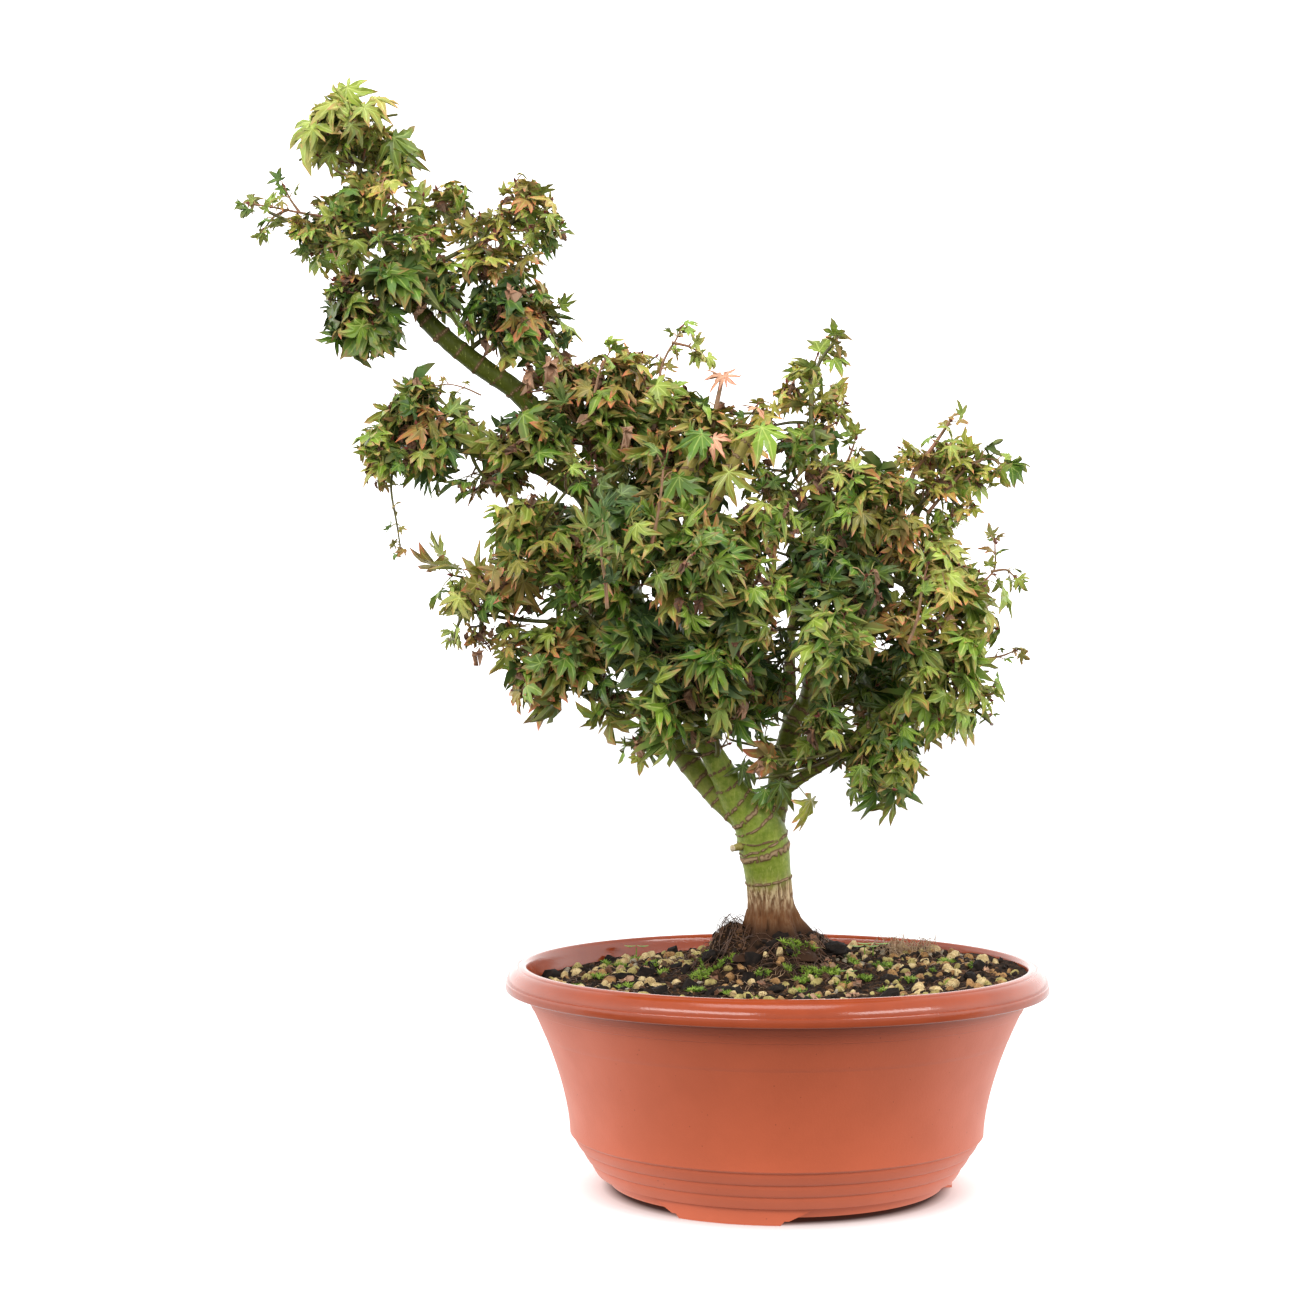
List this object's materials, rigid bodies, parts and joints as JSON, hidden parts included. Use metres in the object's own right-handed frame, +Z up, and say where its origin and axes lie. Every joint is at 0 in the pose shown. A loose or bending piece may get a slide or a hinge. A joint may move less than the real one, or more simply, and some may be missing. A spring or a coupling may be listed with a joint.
{
  "type": "bonsai japanese maple in a round plastic bowl",
  "caption": "Small bonsai maple leaning left, green lobed leaves on a short thick trunk, in a round terracotta-coloured bowl filled with soil.",
  "frame": {"origin": "centre of the whole object's box in plan, on the surface that the bowl stands on; the bowl's own axis is 76.7 mm to the right of it, because the crown leans left past the rim", "axes": "+Z up, -Y towards the picture's camera, +X to the picture's right"},
  "size_m": [0.4534, 0.3, 0.6126],
  "materials": {
    "pot_plastic": "satin moulded plastic, terracotta colour, with a glossier rim",
    "potting_soil": "matt, dark and moist, with pale gravel and some moss",
    "old_bark": "rough, beige with brown fissures",
    "green_bark": "smooth olive green with brown ring scars",
    "leaf": "green leaves, some bronze at the margins, a few pink or dry"
  },
  "bodies": {
    "root": {"bowl": "pot_plastic", "soil": "potting_soil", "trunk": "old_bark", "leader_lower": "green_bark", "leader_upper": "green_bark", "bough_low_left": "green_bark", "bough_left": "green_bark", "bough_right": "green_bark", "bough_right_upper": "green_bark", "bough_low_right": "green_bark", "bough_far_right": "green_bark", "bough_centre": "green_bark", "bough_front_right": "green_bark", "bough_back_right": "green_bark", "bough_back_left": "green_bark", "foliage_crown_tip": "leaf", "foliage_upper_left": "leaf", "foliage_left_shoot": "leaf", "foliage_upper_tuft": "leaf", "foliage_upper_under": "leaf", "foliage_upper_low": "leaf", "foliage_left_spur": "leaf", "foliage_top_left": "leaf", "foliage_top_centre": "leaf", "foliage_right_shoot": "leaf", "foliage_far_right_top": "leaf", "foliage_right_top": "leaf", "foliage_centre_left": "leaf", "foliage_low_left": "leaf", "foliage_left_low_shoot": "leaf", "foliage_centre_front": "leaf", "foliage_centre_low": "leaf", "foliage_right_centre": "leaf", "foliage_right": "leaf", "foliage_low_right": "leaf", "foliage_right_low": "leaf", "foliage_back_top": "leaf", "foliage_back_left": "leaf", "foliage_back_low": "leaf", "foliage_back_right": "leaf", "foliage_back_right_low": "leaf"}
  },
  "joints": []
}
